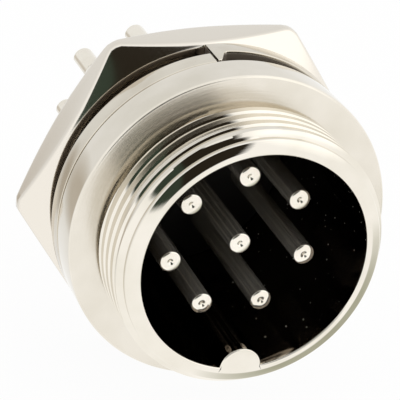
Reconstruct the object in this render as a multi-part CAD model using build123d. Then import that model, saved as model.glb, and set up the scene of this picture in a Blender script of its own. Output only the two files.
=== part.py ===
from build123d import *
import math
import os

# Panel socket of a circular connector: screw coupling, eight male contacts, solder cups.
#
# Every piece is drawn about the mating axis, in a drawing frame whose +Z points out of the
# mouth and whose +Y points up. z = 0 is the rear face of the flange, which seats on the panel.
# into_frame turns the drawing frame upright: the mouth then faces -Y and +Z stays up.

# Shell: threads, flange and sleeves
front_thread_diameter = 19.0
rear_thread_step = 0.5
thread_depth = 0.61
flange_step = 1.45
flange_thickness = 2.8
flange_edge_break = 0.25
front_sleeve_length = 5.0
relief_width = 0.45
thread_flank_width = 0.35
pilot_length = 0.55
lip_width = 0.35
lip_chamfer_length = 0.35
rear_thread_length = 8.6
rear_edge_break = 0.4
neck_length = 2.3
neck_edge_break = 0.15

# Shell: keyed bore and seat of the insert
sleeve_wall = 1.5
key_diameter = 3.0
key_embedding = 0.5
insert_step = 0.45
neck_wall = 0.45
rolled_lip_thickness = 0.4
rolled_lip_reach = 0.55

# Insert
boss_height = 0.4
disc_thickness = 2.4
insert_clearance = 0.05
key_notch_clearance = 0.1
insert_edge_break = 0.15

# Contacts
outer_contact_count = 7
contact_circle_diameter = 10.0
pin_diameter = 1.5
pin_tip_diameter = 0.7
pin_tip_taper = 0.45
pin_recess = 2.9
tail_diameter = 1.6
tail_embedding = 1.4
tail_projection = 9.3
cup_bore_diameter = 1.1
cup_depth = 4.2
cup_opening_length = 3.0
cup_cut_offset = 0.15
contact_clearance = 0.03

# Lock washer and panel nut
washer_inset = 0.05
washer_thickness = 1.4
washer_free_height = 2.9
washer_gap_angle = 4.0
washer_split_angle = 97.0
washer_clearance = 0.1
stack_clearance = 0.05
nut_wall = 1.5
nut_corner_trim = 0.2
nut_thickness = 3.0
nut_chamfer_angle = 30.0
nut_face_inset = 0.35
nut_thread_clearance = 0.06
nut_bore_break = 0.35
nut_turned_by = 4.6

# Radii and heights that follow
front_thread_radius = front_thread_diameter / 2
rear_thread_radius = front_thread_radius + rear_thread_step
pilot_radius = front_thread_radius - thread_depth
flange_radius = rear_thread_radius + flange_step
bore_radius = front_thread_radius - sleeve_wall
key_radius = key_diameter / 2
lip_radius = bore_radius + lip_width
counterbore_radius = bore_radius + insert_step
neck_radius = counterbore_radius + neck_wall
rolled_lip_radius = counterbore_radius - rolled_lip_reach
contact_circle_radius = contact_circle_diameter / 2
pin_radius = pin_diameter / 2
pin_tip_radius = pin_tip_diameter / 2
tail_radius = tail_diameter / 2
cup_bore_radius = cup_bore_diameter / 2
washer_bore_radius = rear_thread_radius + washer_clearance
washer_outer_radius = flange_radius - washer_inset
nut_apothem = rear_thread_radius + nut_wall

rim = flange_thickness + front_sleeve_length
thread_end = -rear_thread_length
rear_end = thread_end - neck_length
insert_rear = rear_end + rolled_lip_thickness
tail_start = insert_rear + tail_embedding
shoulder = insert_rear + disc_thickness
cavity_floor = shoulder + boss_height
pin_tip = rim - pin_recess
tail_end = rear_end - tail_projection
washer_front = -stack_clearance
washer_rear = washer_front - washer_free_height
nut_front = washer_rear - stack_clearance
nut_rear = nut_front - nut_thickness


def rod(radius, low, high):
    """Solid cylinder on the mating axis between two heights."""
    from_bottom = (Align.CENTER, Align.CENTER, Align.MIN)
    return Pos(0, 0, low) * Cylinder(radius, high - low, align=from_bottom)


def taper(low_radius, high_radius, low, high):
    """Solid cone frustum on the mating axis between two heights."""
    from_bottom = (Align.CENTER, Align.CENTER, Align.MIN)
    return Pos(0, 0, low) * Cone(low_radius, high_radius, high - low, align=from_bottom)


def circles_at(shape, radius, height):
    """Round edges of one radius at one height, which are the ones to break or round."""
    rounds = shape.edges().filter_by(GeomType.CIRCLE)
    level = [edge for edge in rounds if abs(edge.center().Z - height) < 0.001]
    return [edge for edge in level if abs(edge.radius - radius) < 0.001]


def contact_places():
    """Place of each contact: the centre one first, then the circle clockwise from the top."""
    places = [Pos(0, 0, 0)]
    for index in range(outer_contact_count):
        angle = math.radians(360 * index / outer_contact_count)
        across = contact_circle_radius * math.sin(angle)
        up = contact_circle_radius * math.cos(angle)
        places.append(Pos(across, up, 0))
    return places


def at_every_contact(shape):
    """Copies of one shape at all contact places, as one compound."""
    return Compound([place * shape for place in contact_places()])


def into_frame(shape):
    """Turn the drawing frame so that the mouth faces -Y and up stays +Z."""
    return Rot(90, 0, 0) * shape


def key_ridge(radius, low, high, reach):
    """Half-round bar along the bottom of the bore, trimmed to a radius about the axis."""
    bar = Pos(0, -bore_radius, 0) * rod(radius, low, high)
    return bar & rod(reach, low, high)


def shell():
    """Flange, two threaded sleeves and the rear neck, turned from one bar, with the key ridge."""
    # The front thread starts on a plain pilot, and a relief beside the flange ends it.
    lip_start = rim - lip_chamfer_length
    pilot_start = rim - pilot_length
    thread_start = pilot_start - thread_flank_width
    relief_end = flange_thickness + relief_width
    front = rod(pilot_radius, 0, lip_start)
    front += taper(pilot_radius, lip_radius, lip_start, rim)
    front += taper(front_thread_radius, pilot_radius, thread_start, pilot_start)
    front += rod(front_thread_radius, relief_end, thread_start)

    rear = rod(rear_thread_radius, thread_end, 0)
    rear = chamfer(circles_at(rear, rear_thread_radius, thread_end), rear_edge_break)
    rear += rod(neck_radius, rear_end, thread_end)
    rear = chamfer(circles_at(rear, neck_radius, rear_end), neck_edge_break)
    flange = rod(flange_radius, 0, flange_thickness)
    flange = chamfer(flange.edges().filter_by(GeomType.CIRCLE), flange_edge_break)
    body = front + rear + flange

    # The neck's end is rolled in behind the insert, after the insert is pushed in.
    body -= rod(bore_radius, shoulder, rim)
    body -= rod(counterbore_radius, insert_rear, shoulder)
    body -= rod(rolled_lip_radius, rear_end, insert_rear)
    ridge = key_ridge(key_radius, shoulder, rim, bore_radius + key_embedding)
    return body + ridge


def insulator():
    """Moulded insert: a disc, and the boss that ends the bore, notched for the key ridge."""
    disc = rod(counterbore_radius - insert_clearance, insert_rear, shoulder)
    boss_radius = bore_radius - insert_clearance
    boss = rod(boss_radius, shoulder, cavity_floor)
    boss = chamfer(circles_at(boss, boss_radius, cavity_floor), insert_edge_break)
    notch = key_ridge(key_radius + key_notch_clearance, shoulder, cavity_floor, bore_radius)
    hole = rod(pin_radius + contact_clearance, tail_start, cavity_floor)
    hole += rod(tail_radius + contact_clearance, insert_rear, tail_start)
    return disc + boss - notch - at_every_contact(hole)


def contact():
    """One contact on the axis: pin and thicker tail, with the solder cup open towards -Y."""
    taper_start = pin_tip - pin_tip_taper
    pin = rod(pin_radius, tail_start, taper_start)
    pin += taper(pin_radius, pin_tip_radius, taper_start, pin_tip)
    tail = rod(tail_radius, tail_end, tail_start)
    cup = rod(cup_bore_radius, tail_end, tail_end + cup_depth)

    # The lower side of the cup is milled away, so that the wire can be laid in.
    milled = (Align.CENTER, Align.MAX, Align.MIN)
    opening = Box(tail_diameter, tail_radius, cup_opening_length, align=milled)
    opening = Pos(0, -cup_cut_offset, tail_end) * opening
    return pin + tail - cup - opening


def lock_washer():
    """Split spring washer: a square bar wound as a left-hand helix of just under one turn."""
    middle = (washer_bore_radius + washer_outer_radius) / 2
    width = washer_outer_radius - washer_bore_radius
    rise = washer_free_height - washer_thickness
    turn_share = 1 - washer_gap_angle / 360
    path = Helix(rise / turn_share, rise, middle, lefthand=True)
    section = Plane.XZ * Pos(middle, 0) * Rectangle(width, washer_thickness)
    bar = sweep(section, path, is_frenet=True)
    start_angle = washer_split_angle - washer_gap_angle / 2
    return Pos(0, 0, washer_rear + washer_thickness / 2) * Rot(0, 0, start_angle) * bar


def hex_nut():
    """Thin hexagon nut, chamfered on both faces, with a plain hole over the thread crests."""
    corner_radius = nut_apothem / math.cos(math.radians(30)) - nut_corner_trim
    face_radius = nut_apothem - nut_face_inset
    slope = math.tan(math.radians(nut_chamfer_angle))
    chamfer_height = (corner_radius - face_radius) * slope
    blank = rod(corner_radius, nut_rear + chamfer_height, nut_front - chamfer_height)
    blank += taper(face_radius, corner_radius, nut_rear, nut_rear + chamfer_height)
    blank += taper(corner_radius, face_radius, nut_front - chamfer_height, nut_front)
    hexagon = Rot(0, 0, nut_turned_by) * RegularPolygon(nut_apothem, 6, major_radius=False)
    prism = Pos(0, 0, nut_rear) * extrude(hexagon, nut_thickness)

    hole_radius = rear_thread_radius + nut_thread_clearance
    nut = (prism & blank) - rod(hole_radius, nut_rear, nut_front)
    for face_height in (nut_rear, nut_front):
        nut = chamfer(circles_at(nut, hole_radius, face_height), nut_bore_break)
    return nut


pieces = {
    "shell": shell(),
    "insulator": insulator(),
    "lock_washer": lock_washer(),
    "hex_nut": hex_nut(),
}
one_contact = contact()
for number, place in enumerate(contact_places(), start=1):
    pieces[f"contact_pin_{number}"] = place * one_contact

os.makedirs("parts", exist_ok=True)
for name, piece in pieces.items():
    export_step(into_frame(piece), f"parts/{name}.step")
    size = piece.bounding_box().size
    print(name, "size", round(size.X, 2), round(size.Y, 2), round(size.Z, 2))
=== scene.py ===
import math

import bmesh
import bpy
import numpy as np
from mathutils import Matrix, Vector


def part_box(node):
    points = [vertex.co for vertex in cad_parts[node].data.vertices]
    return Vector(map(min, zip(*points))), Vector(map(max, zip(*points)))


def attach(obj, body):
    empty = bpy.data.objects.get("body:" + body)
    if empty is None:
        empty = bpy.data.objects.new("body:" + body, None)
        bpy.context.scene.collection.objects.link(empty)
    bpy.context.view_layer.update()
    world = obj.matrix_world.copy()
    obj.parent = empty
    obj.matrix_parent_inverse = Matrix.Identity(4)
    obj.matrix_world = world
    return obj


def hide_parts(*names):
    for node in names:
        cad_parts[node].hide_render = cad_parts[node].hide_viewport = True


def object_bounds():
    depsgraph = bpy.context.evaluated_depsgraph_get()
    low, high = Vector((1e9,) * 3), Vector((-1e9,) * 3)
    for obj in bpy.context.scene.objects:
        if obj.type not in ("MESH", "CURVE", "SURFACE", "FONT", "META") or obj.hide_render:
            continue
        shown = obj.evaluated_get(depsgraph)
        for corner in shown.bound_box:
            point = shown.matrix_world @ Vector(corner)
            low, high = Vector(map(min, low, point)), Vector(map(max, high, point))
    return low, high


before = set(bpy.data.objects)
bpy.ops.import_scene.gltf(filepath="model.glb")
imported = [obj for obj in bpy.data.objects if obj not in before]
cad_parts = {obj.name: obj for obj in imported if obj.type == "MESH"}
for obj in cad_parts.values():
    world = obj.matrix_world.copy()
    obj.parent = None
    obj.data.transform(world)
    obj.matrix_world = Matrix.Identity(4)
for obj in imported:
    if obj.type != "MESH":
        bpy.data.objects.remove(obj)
cad_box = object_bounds()

# Shell: the body of the socket, turned from one bar and nickel plated. It has a round flange,
# a fine thread before and behind it, and a bore with a half-round ridge that keys the plug.
# The thin neck at its rear is rolled in behind the insulator, and holds it there.

# Lengths are in mm. A height runs out of the mouth, so that a height of h lies at y = -h.
# An angle is seen from the mouth, from +X towards +Z.
MM = 0.001
PITCH = 1.0
THREAD_DEPTH = 0.5
CREST_WIDTH = 0.55
ROOT_WIDTH = 0.04
FLANK_CURVE = 0.2
FRONT_THREAD_RADIUS = 9.5
FRONT_THREAD_PHASE = 0.295
FIRST_FLANK_WIDTH = 0.3
RELIEF_WIDTH = 0.45
PILOT_LENGTH = 0.55
PILOT_STEP = 0.43
PILOT_ROUNDING = 0.1
LIP_RADIUS = 8.4
LIP_CHAMFER = 0.25
LIP_LAND = 0.06
FLANGE_THICKNESS = 2.8
FLANGE_BREAK = 0.15
REAR_THREAD_RADIUS = 10.0
REAR_THREAD_PHASE = 0.0
REAR_THREAD_END = -8.6
REAR_BREAK = 0.4
NECK_RADIUS = 8.9
COUNTERBORE_RADIUS = 8.45
ROLLED_LIP_RADIUS = 7.9
ROLLED_LIP_THICKNESS = 0.4
REAR_ROUNDING = 0.12
DISC_THICKNESS = 2.4
SHOULDER_LAND = 0.2
BORE_RADIUS = 8.0
MOUTH_BREAK = 0.10
KEY_ANGLE = -math.pi / 2
RIDGE_RADIUS = 1.5
RIDGE_HALF_ANGLE = 2 * math.asin(RIDGE_RADIUS / (2 * BORE_RADIUS))
EDGE_ROUNDING = 0.05

# How fine the grids are, how far a rounding may reach along a side, and the lengths below
# which points and edges merge.
RIDGE_COLUMNS = 32
PLAIN_COLUMNS = 208
ROWS_PER_PITCH = 14
BORE_ROWS = 12
MOUTH_ROWS = 5
LONGEST_REACH = 0.45
NO_LENGTH = 1e-9
MERGE_DISTANCE = 0.0008
SLIVER_LENGTH = 0.0004
SHARP_ANGLE = math.radians(32)

shell_low, shell_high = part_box("shell")
FLANGE_RADIUS = shell_high.x / MM
RIM = -shell_low.y / MM
REAR_END = -shell_high.y / MM
PILOT_RADIUS = FRONT_THREAD_RADIUS - PILOT_STEP
PILOT_START = RIM - PILOT_LENGTH
INSERT_REAR = REAR_END + ROLLED_LIP_THICKNESS
SHOULDER = INSERT_REAR + DISC_THICKNESS


def column_angles():
    """Angles of one turn, from one flank of the key ridge round to itself: closely spaced
    over the ridge, as the sine of an even step, and evenly spaced over the rest."""
    even = np.linspace(-math.pi / 2, math.pi / 2, RIDGE_COLUMNS + 1)
    over_ridge = RIDGE_HALF_ANGLE * np.sin(even)
    rest = np.linspace(RIDGE_HALF_ANGLE, 2 * math.pi - RIDGE_HALF_ANGLE, PLAIN_COLUMNS + 1)
    return KEY_ANGLE + np.concatenate([over_ridge, rest[1:]])


ANGLES = column_angles()
TURNS = (ANGLES - ANGLES[0]) / (2 * math.pi)


def round_points(radius, height, angles=ANGLES):
    """Points at radii and heights, carried round the axis: x = r cos a, y = -h, z = r sin a.
    Both are arrays of rows, or of rows by angles."""
    radius, height = np.atleast_1d(radius), np.atleast_1d(height)
    radius = radius[:, None] if radius.ndim == 1 else radius
    height = height[:, None] if height.ndim == 1 else height
    x = radius * np.cos(angles)
    z = radius * np.sin(angles)
    return np.stack([x, np.broadcast_to(-height, x.shape), z], axis=-1)


def rounded(corners, reach, steps=4):
    """Corner points, each replaced by a short curve: the quadratic blend from a point the
    reach before the corner, through it, to a point the reach after it. The reach stays
    under half of either side, and the first and last corners stay. Corners are rows of
    (radius, height), or rows by angles of them."""
    corners = np.asarray(corners, float)
    inner, before, after = corners[1:-1], corners[:-2], corners[2:]

    def toward(other):
        way = other - inner
        length = np.maximum(np.linalg.norm(way, axis=-1, keepdims=True), NO_LENGTH)
        return inner + way / length * np.minimum(reach, LONGEST_REACH * length)

    blend = np.linspace(0, 1, steps).reshape((1, steps) + (1,) * (inner.ndim - 1))
    start, middle, end = toward(before)[:, None], inner[:, None], toward(after)[:, None]
    curve = (1 - blend) ** 2 * start + 2 * blend * (1 - blend) * middle + blend ** 2 * end
    curve = curve.reshape((-1,) + inner.shape[1:])
    return np.concatenate([corners[:1], curve, corners[-1:]])


def turned(corners, reach=EDGE_ROUNDING):
    """A rounded profile of (radius, height) corners, carried round the axis."""
    profile = rounded(corners, reach)
    return round_points(profile[..., 0], profile[..., 1])


def thread_fall(height, turns, phase):
    """How deep a right-hand thread lies under its crest, at a height and a share of a turn.
    It depends only on the height less one pitch for each turn: a flat crest, then a flank
    down to a narrow root. A share f of the flank's width falls by (1 - c) f + c f^2 of the
    depth, where c is the flank's curve, so that it grows steeper on the way down."""
    along = (height / PITCH - turns + phase) % 1.0
    from_crest = np.abs(along - 0.5) * PITCH
    flank = (PITCH - CREST_WIDTH - ROOT_WIDTH) / 2
    share = np.clip((from_crest - CREST_WIDTH / 2) / flank, 0, 1)
    return THREAD_DEPTH * ((1 - FLANK_CURVE) * share + FLANK_CURVE * share * share)


def threaded(crest, top, bottom, phase, limit):
    """Rows of a threaded surface from a top height down to a bottom one. Each row follows
    the helix, rising one pitch in a turn, and is held between the two heights. limit gives
    the largest radius at a height, which cuts the thread's ends to a cone."""
    count = int(math.ceil((top - bottom) / PITCH + 1)) * ROWS_PER_PITCH
    start = top - PITCH * np.arange(count + 1)[:, None] / ROWS_PER_PITCH
    height = np.clip(start + PITCH * TURNS, bottom, top)
    radius = np.minimum(crest - thread_fall(height, TURNS, phase), limit(height))
    return round_points(radius, height)


def bore_points(offset, height):
    """Rows of the keyed bore at heights. Away from the key a point lies on the bore's
    circle, and over the key on the ridge's circle, whose middle lies on the bore's circle.
    A positive offset lies deeper in the metal of both."""
    offset, height = np.broadcast_arrays(np.atleast_1d(offset), np.atleast_1d(height))
    wall = (BORE_RADIUS + offset)[:, None]
    ridge = (RIDGE_RADIUS - offset)[:, None]
    meet = np.arccos((wall ** 2 + BORE_RADIUS ** 2 - ridge ** 2) / (2 * wall * BORE_RADIUS))
    plain = (ANGLES - KEY_ANGLE - RIDGE_HALF_ANGLE) / (2 * math.pi - 2 * RIDGE_HALF_ANGLE)
    angle = KEY_ANGLE + meet + plain * (2 * math.pi - 2 * meet)
    x = wall * np.cos(angle)
    z = wall * np.sin(angle)
    side = wall * np.cos(meet) - BORE_RADIUS
    rise = np.arctan2(-side, wall * np.sin(meet))
    share = np.arange(RIDGE_COLUMNS + 1) / RIDGE_COLUMNS
    across = (math.pi - rise) + share * (2 * rise - math.pi)
    x[:, :RIDGE_COLUMNS + 1] = ridge * np.cos(across)
    z[:, :RIDGE_COLUMNS + 1] = -BORE_RADIUS + ridge * np.sin(across)
    return np.stack([x, np.broadcast_to(-height[:, None], x.shape), z], axis=-1)


def build_piece(name, grids, body, node):
    """A mesh of one or more closed grids. A grid is rows by columns of points in mm: quads
    join neighbours, the last row joins the first where the grid says so, and points that
    meet at a seam or a pole become one."""
    vertices, faces, base = [], [], 0
    for points, loop in grids:
        rows, columns = points.shape[:2]
        index = base + np.arange(rows * columns).reshape(rows, columns)
        if loop:
            index = np.concatenate([index, index[:1]])
        quads = [index[:-1, :-1], index[:-1, 1:], index[1:, 1:], index[1:, :-1]]
        faces.append(np.stack(quads, axis=-1).reshape(-1, 4))
        vertices.append(points.reshape(-1, 3) * MM)
        base += rows * columns
    mesh = bpy.data.meshes.new(name)
    mesh.from_pydata(np.concatenate(vertices).tolist(), [], np.concatenate(faces).tolist())
    work = bmesh.new()
    work.from_mesh(mesh)
    bmesh.ops.remove_doubles(work, verts=work.verts, dist=MERGE_DISTANCE * MM)
    bmesh.ops.dissolve_degenerate(work, edges=work.edges, dist=SLIVER_LENGTH * MM)
    bmesh.ops.recalc_face_normals(work, faces=work.faces)
    work.to_mesh(mesh)
    work.free()
    mesh.shade_smooth()
    mesh.set_sharp_from_angle(angle=SHARP_ANGLE)
    piece = bpy.data.objects.new(name, mesh)
    bpy.context.scene.collection.objects.link(piece)
    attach(piece, body)
    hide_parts(node)
    return piece


def shell_points():
    """The shell's closed section, carried round: down the outside from the lip, in across
    the neck's rolled end, up the counterbore, and out along the keyed bore."""
    thread_end = FLANGE_THICKNESS + RELIEF_WIDTH
    pilot = turned([
        (LIP_RADIUS - LIP_LAND, RIM), (LIP_RADIUS, RIM), (PILOT_RADIUS, RIM - LIP_CHAMFER),
        (PILOT_RADIUS, PILOT_START)], PILOT_ROUNDING)
    steepness = (FRONT_THREAD_RADIUS - PILOT_RADIUS) / FIRST_FLANK_WIDTH
    front = threaded(FRONT_THREAD_RADIUS, PILOT_START, thread_end, FRONT_THREAD_PHASE,
                     lambda height: PILOT_RADIUS + (PILOT_START - height) * steepness)
    flange = turned([
        (PILOT_RADIUS, thread_end), (PILOT_RADIUS, FLANGE_THICKNESS),
        (FLANGE_RADIUS - FLANGE_BREAK, FLANGE_THICKNESS),
        (FLANGE_RADIUS, FLANGE_THICKNESS - FLANGE_BREAK),
        (FLANGE_RADIUS, FLANGE_BREAK), (FLANGE_RADIUS - FLANGE_BREAK, 0),
        (REAR_THREAD_RADIUS - THREAD_DEPTH, 0)])
    rear = threaded(REAR_THREAD_RADIUS, 0, REAR_THREAD_END, REAR_THREAD_PHASE,
                    lambda height: REAR_THREAD_RADIUS - REAR_BREAK + (height - REAR_THREAD_END))
    inside = turned([
        (REAR_THREAD_RADIUS - REAR_BREAK, REAR_THREAD_END), (NECK_RADIUS, REAR_THREAD_END),
        (NECK_RADIUS, REAR_END), (ROLLED_LIP_RADIUS, REAR_END),
        (ROLLED_LIP_RADIUS, INSERT_REAR), (COUNTERBORE_RADIUS, INSERT_REAR),
        (COUNTERBORE_RADIUS, SHOULDER), (BORE_RADIUS + SHOULDER_LAND, SHOULDER)],
        REAR_ROUNDING)
    bore = bore_points(0.0, np.linspace(SHOULDER, RIM - MOUTH_BREAK, BORE_ROWS))
    curve = np.linspace(0, math.pi / 2, MOUTH_ROWS)
    mouth = bore_points(MOUTH_BREAK * (1 - np.cos(curve)),
                        RIM - MOUTH_BREAK * (1 - np.sin(curve)))
    return np.concatenate([pilot, front, flange, rear, inside, bore, mouth])


shell = build_piece("shell_turned", [(shell_points(), True)], "socket", "shell")


class Maths:
    """A shader value. Python's operators on it add the Math nodes that work them out."""

    def __init__(self, material, socket):
        self.material = material
        self.socket = socket

    def combine(self, operation, first, second):
        return self.material.node("ShaderNodeMath", {"operation": operation},
                                  {0: first, 1: second})

    def __add__(self, other):
        return self.combine("ADD", self, other)

    def __sub__(self, other):
        return self.combine("SUBTRACT", self, other)

    def __rsub__(self, other):
        return self.combine("SUBTRACT", other, self)

    def __mul__(self, other):
        return self.combine("MULTIPLY", self, other)

    def __truediv__(self, other):
        return self.combine("DIVIDE", self, other)

    def __pow__(self, other):
        return self.combine("POWER", self, other)

    __radd__ = __add__
    __rmul__ = __mul__


class Finish:
    """A material, or the world, with one method that adds any node."""

    def __init__(self, owner):
        owner.use_nodes = True
        self.tree = owner.node_tree
        self.tree.nodes.clear()

    def node(self, kind, settings=None, sockets=None, output=0):
        """One output of a new node, whose settings come first, then its values and links."""
        made = self.tree.nodes.new(kind)
        for key, value in (settings or {}).items():
            setattr(made, key, value)
        for key, value in (sockets or {}).items():
            if isinstance(value, Maths):
                self.tree.links.new(value.socket, made.inputs[key])
            else:
                made.inputs[key].default_value = value
        return Maths(self, made.outputs[output])

    def finish_with(self, shader, kind="ShaderNodeOutputMaterial"):
        """Make a shader the surface of the material, or of the world."""
        end = self.tree.nodes.new(kind)
        self.tree.links.new(shader.socket, end.inputs["Surface"])

    def position(self):
        """Place on the object, in mm, as its three parts."""
        place = self.node("ShaderNodeTexCoord", output="Object")
        return [self.node("ShaderNodeSeparateXYZ", None, {0: place}, output=axis) / MM
                for axis in "XYZ"]

    def noise(self, scale, detail, roughness=0.5, place=None):
        """Cloudy noise over the place on the object, in metres, or over the place given."""
        place = place or self.node("ShaderNodeTexCoord", output="Object")
        return self.node("ShaderNodeTexNoise", None, {
            "Vector": place, "Scale": scale, "Detail": detail, "Roughness": roughness})

    def limited(self, value, low, high, to_low=0.0, to_high=1.0):
        """The value from low to high, carried over to another range and held inside it."""
        return self.node("ShaderNodeMapRange", {"clamp": True}, {
            "Value": value, "From Min": low, "From Max": high,
            "To Min": to_low, "To Max": to_high})

    def band(self, value, start, full, fade, end):
        """0 up to the start, 1 from full to fade, and 0 again from the end on."""
        return self.limited(value, start, full) * self.limited(value, end, fade)

    def colours(self, share, first, second):
        """Blend of two colours, each given by its parts or worked out by other nodes."""
        first, second = [given if isinstance(given, Maths) else (*given, 1)
                         for given in (first, second)]
        return self.node("ShaderNodeMix", {"data_type": "RGBA"},
                         {"Factor": share, 6: first, 7: second}, output=2)


# The plate's clouds and tool marks, its duller face with a painted reflection, painted
# shade behind the flange and in the bore, deeper painted shade on the washer, and dust.
# Places are in mm, and a pair or a row of four holds the ends of the slopes of a mask.
CLOUD_SCALE = 260.0
CLOUD_RANGE = (0.38, 0.68)
CLOUD_DETAIL = 3.0
MARK_DETAIL = 3.0
MARK_FINENESS = 0.65
MARK_STRENGTH = 0.35
MARK_SHARE = 0.35
ROUGHEST = 1.3
FACE_Y = (-3.0, -2.9, -2.75, -2.65)
FACE_RADII = (9.0, 9.3)
FACE_DULLNESS = 0.16
# Painted reflection: the share and the brown of the tint on the flange's front face.
FACE_REFLECTION_SHARE = 0.2
FACE_REFLECTION_BROWN = (0.55, 0.50, 0.42)
# Painted shade between the flange and the nut: where it lies, and how strong it is.
GAP_Y = (-0.05, 0.0, 3.5, 3.7)
GAP_RADII = (11.3, 11.15)
GAP_SHADE_SHARE = 0.75
# Painted shade on the bore's wall, and the brown of all the painted shade.
BORE_Y = (-7.72, -7.55)
BORE_RADII = (8.1, 8.03)
PAINTED_SHADE_BROWN = (0.16, 0.13, 0.10)
# Deeper painted shade on the washer between flange and nut: darkening, dullness, metal lost.
GAP_SHADE_BOOST_SHARE = 0.23
GAP_SHADE_BOOST_DULLNESS = 0.35
GAP_SHADE_BOOST_METAL_LOSS = 0.5
DUST_X = (1.0, 4.0)
DUST_SCALE = 3600.0
DUST_DETAIL = 1.0
DUST_RANGE = (0.755, 0.775)
DUST_GREY = (0.75, 0.75, 0.70)


def plated(name, colour, dull_colour, smooth, rough, mark_depth, marks_per_mm,
           metal=1.0, film=True, gap_shade_boost=0.0):
    """Nickel plate over turned metal: rings left by the tool, which depend on the distance
    from the axis and along it, and a faint cloudiness of the plate. Where it has painted
    light and dust, the flange's front face is duller and tinted browner as a painted
    reflection, painted shade darkens the colour behind the flange and on the wall of the
    bore, and dust lies on the bore's wall. A gap shade boost paints the shade behind the
    flange darker still and takes its gloss and some of its metal."""
    material = bpy.data.materials.new(name)
    finish = Finish(material)
    x, y, z = finish.position()
    radius = (x * x + z * z) ** 0.5
    ring = finish.node("ShaderNodeCombineXYZ", None, {0: radius, 1: y, 2: 0.0})
    tool_marks = finish.noise(marks_per_mm, MARK_DETAIL, MARK_FINENESS, ring)
    cloudy = finish.limited(finish.noise(CLOUD_SCALE, CLOUD_DETAIL), *CLOUD_RANGE)
    bump = finish.node("ShaderNodeBump", None, {
        "Strength": MARK_STRENGTH, "Distance": mark_depth * MM, "Height": tool_marks})
    plate = finish.colours(cloudy, colour, dull_colour)
    roughness = finish.limited(cloudy + tool_marks * MARK_SHARE, 0.0, ROUGHEST, smooth, rough)
    metallic = metal
    if film:
        on_face = finish.band(y, *FACE_Y) * finish.limited(radius, *FACE_RADII)
        # Painted shade between the flange and the nut.
        in_gap = finish.band(y, *GAP_Y) * finish.limited(radius, *GAP_RADII)
        # Painted shade: the bore's wall is darkened.
        in_bore = finish.limited(y, *BORE_Y) * finish.limited(radius, *BORE_RADII)
        # Deeper painted shade between the flange and the nut, set on the washer.
        boosted_gap_shade = in_gap * gap_shade_boost
        painted_shade = finish.limited(in_gap * GAP_SHADE_SHARE + boosted_gap_shade * GAP_SHADE_BOOST_SHARE + in_bore, 0.0, 1.0)
        specks = finish.limited(finish.noise(DUST_SCALE, DUST_DETAIL), *DUST_RANGE)
        dust = in_bore * finish.limited(x, *DUST_X) * specks
        # Painted reflection: the flange's front face is tinted brown.
        plate = finish.colours(on_face * FACE_REFLECTION_SHARE, plate, FACE_REFLECTION_BROWN)
        # Painted shade: a darker brown colour behind the flange and on the bore's wall.
        plate = finish.colours(painted_shade, plate, PAINTED_SHADE_BROWN)
        plate = finish.colours(dust, plate, DUST_GREY)
        roughness = roughness + on_face * FACE_DULLNESS + boosted_gap_shade * GAP_SHADE_BOOST_DULLNESS
        metallic = metal - dust - boosted_gap_shade * GAP_SHADE_BOOST_METAL_LOSS
    finish.finish_with(finish.node("ShaderNodeBsdfPrincipled", None, {
        "Base Color": plate, "Metallic": metallic, "Roughness": roughness, "Normal": bump}))
    return material


shell.data.materials.append(
    plated("nickel_turned", (0.77, 0.73, 0.66), (0.70, 0.66, 0.58),
           smooth=0.02, rough=0.07, mark_depth=0.006, marks_per_mm=9.0))


# Lock washer: a bar of spring steel wound as a left-hand helix of just under one turn and
# nickel plated. Cutting it off has spread the end beside the nut towards the flange. It lies
# loose round the rear sleeve, between the flange and the nut.
WASHER_BORE = REAR_THREAD_RADIUS + 0.1
WASHER_OUTSIDE = FLANGE_RADIUS - 0.05
WASHER_THICKNESS = 1.4
WASHER_ROUNDING = 0.09
WASHER_SPLIT = math.radians(97.0)
WASHER_GAP = math.radians(1.0)
WASHER_COLUMNS = 200
SPREAD_HEIGHT = 1.3
SPREAD_ANGLE = math.radians(3.4)
SPREAD_COLUMNS = 25

washer_low, washer_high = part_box("lock_washer")
WASHER_FRONT = -washer_low.y / MM
WASHER_REAR = -washer_high.y / MM


def washer_points():
    """A rounded rectangle carried round the axis. Going round from the split, the bar sinks
    from the flange to the nut as 3 t^2 - 2 t^3 of the way t. Its front half rises again at
    the last end, as exp(-d^3) of the angle d left, and both ends close by their middle."""
    half = WASHER_THICKNESS / 2
    section = rounded([
        (WASHER_BORE, 0), (WASHER_BORE, half), (WASHER_OUTSIDE, half),
        (WASHER_OUTSIDE, -half), (WASHER_BORE, -half), (WASHER_BORE, 0)], WASHER_ROUNDING)
    last_angle = WASHER_SPLIT + 2 * math.pi - WASHER_GAP / 2
    left = np.concatenate([
        np.linspace(2 * math.pi - WASHER_GAP, 2 * SPREAD_ANGLE, WASHER_COLUMNS,
                    endpoint=False),
        np.linspace(2 * SPREAD_ANGLE, 0, SPREAD_COLUMNS)])
    angles = last_angle - left
    top, bottom = WASHER_FRONT - half, WASHER_REAR + half
    way = 1 - left / left[0]
    middle = top + (bottom - top) * way * way * (3 - 2 * way)
    spread = SPREAD_HEIGHT * np.exp(-(left / SPREAD_ANGLE) ** 3)
    radius = np.broadcast_to(section[:, :1], (len(section), len(angles)))
    height = section[:, 1:] + middle + np.where(section[:, 1:] > 0, spread, 0)
    body = round_points(radius, height, angles)
    ends = body.mean(axis=0, keepdims=True)[:, [0, -1]]
    first = np.broadcast_to(ends[:, :1], (len(section), 1, 3))
    last = np.broadcast_to(ends[:, 1:], (len(section), 1, 3))
    return np.concatenate([first, body, last], axis=1)


washer = build_piece("lock_washer_wound", [(washer_points(), False)],
                     "washer", "lock_washer")
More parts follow.
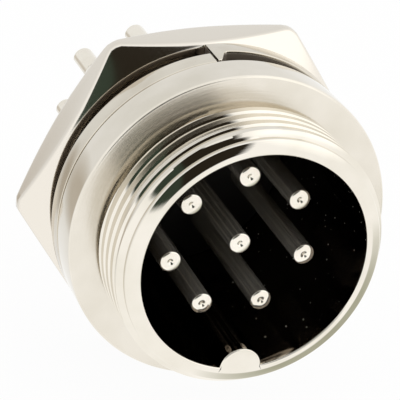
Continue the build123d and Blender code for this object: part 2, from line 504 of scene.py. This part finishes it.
# The washer gets the deeper painted shade between the flange and the nut.
washer.data.materials.append(
    plated("nickel_spring", (0.70, 0.66, 0.58), (0.60, 0.55, 0.47),
           smooth=0.06, rough=0.16, mark_depth=0.012, marks_per_mm=5.0, gap_shade_boost=1.0))


# Hex nut: the panel nut, cut from hexagon bar, threaded, chamfered on both faces and nickel
# plated. It screws along the rear sleeve's thread.
NUT_TURN = math.radians(4.6)
NUT_APOTHEM = REAR_THREAD_RADIUS + 1.5
NUT_FACE_RADIUS = NUT_APOTHEM - 0.35
NUT_CORNER_RADIUS = NUT_APOTHEM / math.cos(math.pi / 6) - 0.2
NUT_SLOPE = math.tan(math.radians(30.0))
NUT_ROUNDING = 0.26
NUT_THREAD_GAP = 0.06
NUT_MOUTH_RADIUS = REAR_THREAD_RADIUS + NUT_THREAD_GAP + 0.08
NUT_COLOUR = (0.7412, 0.6980, 0.6314, 1)
NUT_ROUGHNESS = 0.12

nut_low, nut_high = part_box("hex_nut")
NUT_FRONT = -nut_low.y / MM
NUT_REAR = -nut_high.y / MM


def nut_points():
    """The nut's closed section at each angle. Outside, it ends at the flat's distance from
    the axis, which is the apothem over the cosine of the angle from the flat's middle, or
    at the turned corner. Its chamfers rise from a circle on each face at a set slope. The
    crests of its thread stop short of both faces, at a countersink of 45 degrees."""
    step = math.pi / 3
    from_middle = (ANGLES - NUT_TURN) % step - step / 2
    outer = np.minimum(NUT_APOTHEM / np.cos(from_middle), NUT_CORNER_RADIUS)
    face = np.minimum(outer, NUT_FACE_RADIUS)
    drop = (outer - face) * NUT_SLOPE
    mouth = np.full_like(outer, NUT_MOUTH_RADIUS)
    front = np.full_like(outer, NUT_FRONT)
    rear = np.full_like(outer, NUT_REAR)
    corners = [(mouth, front), (face, front), (outer, front - drop), (outer, rear + drop),
               (face, rear), (mouth, rear)]
    profile = rounded(np.array([np.stack(corner, axis=-1) for corner in corners]),
                      NUT_ROUNDING, steps=6)
    outside = round_points(profile[..., 0], profile[..., 1])

    thread = threaded(REAR_THREAD_RADIUS, NUT_FRONT, NUT_REAR, REAR_THREAD_PHASE,
                      lambda height: np.inf)
    height = -thread[..., 1]
    radius = np.hypot(thread[..., 0], thread[..., 2]) + NUT_THREAD_GAP
    inward = np.minimum(NUT_FRONT - height, height - NUT_REAR)
    inside = round_points(np.maximum(radius, NUT_MOUTH_RADIUS - inward), height)
    return np.concatenate([outside, inside[::-1]])


def plain_plate():
    """Bright nickel plate, the same all over, without the marks of the turned pieces."""
    material = bpy.data.materials.new("nut_plate")
    finish = Finish(material)
    finish.finish_with(finish.node("ShaderNodeBsdfPrincipled", None, {
        "Base Color": NUT_COLOUR, "Metallic": 1.0, "Roughness": NUT_ROUGHNESS}))
    return material


nut = build_piece("hex_nut_cut", [(nut_points(), True)], "nut", "hex_nut")
nut.data.materials.append(plain_plate())


# Contacts: eight turned pins of plated brass, seven on a circle and one in the middle. Each
# has a slightly domed tip, and a tail that ends in a cup, open below, for a soldered wire.
CONTACT_CIRCLE = 5.0
OUTER_CONTACTS = 7
PIN_RADIUS = 0.75
DOME_HEIGHT = 0.16
DIMPLE_DEPTH = 0.15
DIMPLE_RADIUS = 0.2
TAIL_RADIUS = 0.8
TAIL_EMBEDDING = 1.4
TAIL_ROUNDING = 0.04
CUP_RADIUS = 0.55
CUP_DEPTH = 4.2
CUP_FLOOR_SLOPE = 0.5
CUP_EDGE = 0.05
OPENING_LENGTH = 3.0
OPENING_OFFSET = 0.15
DOME_ROWS = 24
ARC_POINTS = 33
CONTACT_ANGLES = np.linspace(0, 2 * math.pi, 49)

contact_low, contact_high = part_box("contact_pin_1")
PIN_TIP = -contact_low.y / MM
TAIL_END = -contact_high.y / MM
OPENING = TAIL_END + OPENING_LENGTH


def pin_points():
    """The solid part of a contact, turned about its own axis: a dome drawn as a quarter of
    an ellipse, less a small dimple of bell shape in its middle, then the shaft, the thicker
    tail and the drilled floor of the cup."""
    curve = np.linspace(0, math.pi / 2, DOME_ROWS)
    radius = PIN_RADIUS * np.sin(curve)
    dimple = DIMPLE_DEPTH * np.exp(-(radius / DIMPLE_RADIUS) ** 2)
    dome = np.stack([radius, PIN_TIP - DOME_HEIGHT * (1 - np.cos(curve)) - dimple], axis=-1)
    tail_start = INSERT_REAR + TAIL_EMBEDDING
    floor = TAIL_END + CUP_DEPTH
    below = rounded([
        dome[-1], (PIN_RADIUS, tail_start), (TAIL_RADIUS, tail_start), (TAIL_RADIUS, OPENING),
        (CUP_RADIUS, OPENING), (CUP_RADIUS, floor),
        (0, floor + CUP_RADIUS * CUP_FLOOR_SLOPE)], TAIL_ROUNDING, steps=3)
    profile = np.concatenate([dome, below])
    return round_points(profile[:, 0], profile[:, 1], CONTACT_ANGLES)


def cup_points():
    """The open part of the cup: a loop of outer arc and inner arc, carried down the tail.
    Both arcs stop at the plane that was milled, where the cosine of the angle from straight
    down is the plane's distance over the radius. Each end closes midway through the wall."""
    share = np.linspace(0, 1, ARC_POINTS)

    def loop(outer, inner, height):
        starts = np.arccos(OPENING_OFFSET / np.array([[outer], [inner]]))
        outer_arc, inner_arc = starts + share * 2 * (math.pi - starts)
        angle = np.concatenate([outer_arc, inner_arc[::-1], outer_arc[:1]])
        radius = np.repeat([outer, inner, outer], [len(share), len(share), 1])
        return round_points(radius[None], np.full((1, len(radius)), height), KEY_ANGLE + angle)

    middle = (TAIL_RADIUS + CUP_RADIUS) / 2
    return np.concatenate([
        loop(middle, middle, OPENING), loop(TAIL_RADIUS, CUP_RADIUS, OPENING),
        loop(TAIL_RADIUS, CUP_RADIUS, TAIL_END + CUP_EDGE),
        loop(TAIL_RADIUS - CUP_EDGE, CUP_RADIUS + CUP_EDGE, TAIL_END),
        loop(middle, middle, TAIL_END)])


contact_metal = plated(
    "contact_plate", (0.86, 0.82, 0.74), (0.80, 0.75, 0.66),
    smooth=0.05, rough=0.12, mark_depth=0.006, marks_per_mm=6.0, metal=0.86, film=False)
for number in range(1, OUTER_CONTACTS + 2):
    angle = math.pi / 2 - 2 * math.pi * (number - 2) / OUTER_CONTACTS
    distance = CONTACT_CIRCLE if number > 1 else 0.0
    place = np.array([distance * math.cos(angle), 0, distance * math.sin(angle)])
    contact = build_piece(f"contact_{number}_turned",
                          [(pin_points() + place, False), (cup_points() + place, False)],
                          "socket", f"contact_pin_{number}")
    contact.data.materials.append(contact_metal)


# Insulator: the insert, moulded from black resin. Its disc sits in the counterbore against
# the shoulder, and its boss ends the bore behind the pins.
BOSS_HEIGHT = 0.4
INSERT_GAP = 0.05
INSERT_ROUNDING = 0.15
RESIN_BLACK = (0.004, 0.004, 0.004)
RESIN_GREY = (0.010, 0.009, 0.008)
RESIN_REFLECTION = 0.25
GRAIN_SCALE = 900.0
GRAIN_DETAIL = 4.0
GRAIN_STRENGTH = 0.2
GRAIN_HEIGHT = 0.02
GRAIN_RANGE = (0.3, 0.7)
GRAIN_ROUGHNESS = (0.45, 0.65)


def insulator_points():
    """The insert's section, carried round: from the middle of its front face, over the
    boss's edge and the disc's, to the middle of its rear face."""
    boss = BORE_RADIUS - INSERT_GAP
    disc = COUNTERBORE_RADIUS - INSERT_GAP
    front = SHOULDER + BOSS_HEIGHT
    return turned([(0, front), (boss, front), (boss, SHOULDER), (disc, SHOULDER),
                   (disc, INSERT_REAR), (0, INSERT_REAR)], INSERT_ROUNDING)


def moulded_resin():
    """Black resin with a fine grain, which makes it a little lighter, rougher and uneven."""
    material = bpy.data.materials.new("black_resin")
    resin = Finish(material)
    grain = resin.noise(GRAIN_SCALE, GRAIN_DETAIL)
    bump = resin.node("ShaderNodeBump", None, {
        "Strength": GRAIN_STRENGTH, "Distance": GRAIN_HEIGHT * MM, "Height": grain})
    resin.finish_with(resin.node("ShaderNodeBsdfPrincipled", None, {
        "Base Color": resin.colours(grain, RESIN_BLACK, RESIN_GREY),
        "Roughness": resin.limited(grain, *GRAIN_RANGE, *GRAIN_ROUGHNESS),
        "Specular IOR Level": RESIN_REFLECTION, "Normal": bump}))
    return material


insulator = build_piece("insulator_moulded", [(insulator_points(), False)],
                        "socket", "insulator")
insulator.data.materials.append(moulded_resin())


# Setting: a white floor under the nut's lowest corner, and a bright room without lamps. The
# room is darker on the viewer's side and greyer behind the socket, for the metal to show.
FLOOR_DROP = 0.0002
FLOOR_REACH = 3.0
FLOOR_GREY = (0.9, 0.9, 0.9, 1)
FLOOR_GLOW = 0.95
WHITE = (1, 1, 1, 1)

floor_height = cad_box[0][2] - FLOOR_DROP
floor_corners = [(x * FLOOR_REACH, y * FLOOR_REACH, floor_height)
                 for x, y in ((-1, -1), (1, -1), (1, 1), (-1, 1))]
floor_mesh = bpy.data.meshes.new("floor")
floor_mesh.from_pydata(floor_corners, [], [(0, 1, 2, 3)])
floor = bpy.data.objects.new("floor", floor_mesh)
bpy.context.scene.collection.objects.link(floor)
floor.visible_glossy = False
floor_material = bpy.data.materials.new("white_floor")
floor_finish = Finish(floor_material)
seen = floor_finish.node("ShaderNodeLightPath", output="Is Camera Ray")
plain = floor_finish.node("ShaderNodeBsdfDiffuse", None, {"Color": FLOOR_GREY})
lit = floor_finish.node("ShaderNodeEmission", None, {"Color": WHITE, "Strength": 1.0})
floor_finish.finish_with(floor_finish.node(
    "ShaderNodeMixShader", None, {0: seen * FLOOR_GLOW, 1: plain, 2: lit}))
floor.data.materials.append(floor_material)

# The room's tones. Each has a way that it faces, the cosines from that way at which it
# begins and is full, and its colour. The shade on the viewer's side is split by an edge.
FRONT_TONE = (1.2, 1.2, 1.19)
REAR_WAY, REAR_TONE = ((-0.30, 0.83, 0.30), -0.1, 0.75), (0.93, 0.93, 0.92)
TONES = (
    ((0.62, -0.55, 0.55), 0.88, 0.95, (1.5, 1.5, 1.47)),
    ((0.65, -0.20, -0.73), 0.85, 0.98, (0.52, 0.53, 0.43)),
    ((-0.53, 0.80, -0.24), 0.965, 0.995, (0.60, 0.55, 0.48)))
SHADE_WAY = ((-0.217, -0.898, 0.386), 0.88, 0.91)
SHADE_EDGE = ((-0.86, 0.0, -0.51), 0.07, 0.11)
SHADE_BROWN = (0.026, 0.021, 0.014)
SHADE_GREEN = (0.044, 0.062, 0.044)

world = bpy.data.worlds.new("room")
bpy.context.scene.world = world
room = Finish(world)
direction = room.node("ShaderNodeTexCoord", output="Generated")


def facing(way, low, high):
    """How far a direction of the room lies toward a way: 0 at the low cosine, 1 at the high."""
    unit = Vector(way).normalized()
    cosine = room.node("ShaderNodeVectorMath", {"operation": "DOT_PRODUCT"},
                       {0: direction, 1: unit}, output="Value")
    return room.limited(cosine, low, high)


tone = room.colours(facing(*REAR_WAY), FRONT_TONE, REAR_TONE)
for way, low, high, colour in TONES:
    tone = room.colours(facing(way, low, high), tone, colour)
shade = room.colours(facing(*SHADE_EDGE), SHADE_BROWN, SHADE_GREEN)
tone = room.colours(facing(*SHADE_WAY), tone, shade)
backdrop = room.node("ShaderNodeBackground", None, {"Color": tone, "Strength": 1.0})
white = room.node("ShaderNodeBackground", None, {"Color": WHITE, "Strength": 1.0})
camera_ray = room.node("ShaderNodeLightPath", output="Is Camera Ray")
room.finish_with(
    room.node("ShaderNodeMixShader", None, {0: camera_ray, 1: backdrop, 2: white}),
    "ShaderNodeOutputWorld")

# Viewpoint: in front of the mouth, to its left and above, with a long lens, so that the
# flange's far side is hardly smaller than its near side. Its place is in metres.
VIEW_PLACE = Vector((-0.0503, -0.1144, 0.0606))
VIEW_AHEAD = Vector((0.3549, 0.8290, -0.4323))
VIEW_UP = Vector((0.0405, 0.4483, 0.8930))
SENSOR_WIDTH = 36.0
LENS_SHARE = 5.0
NEAREST = 0.01

camera_data = bpy.data.cameras.new("viewpoint")
camera_data.sensor_width = SENSOR_WIDTH
camera_data.lens = SENSOR_WIDTH * LENS_SHARE
camera_data.clip_start = NEAREST
camera = bpy.data.objects.new("viewpoint", camera_data)
back = -VIEW_AHEAD.normalized()
right = VIEW_UP.cross(back).normalized()
up = back.cross(right)
turn = Matrix((right, up, back)).transposed().to_4x4()
camera.matrix_world = Matrix.Translation(VIEW_PLACE) @ turn
bpy.context.scene.collection.objects.link(camera)
bpy.context.scene.camera = camera

bpy.context.scene.view_settings.view_transform = "Standard"
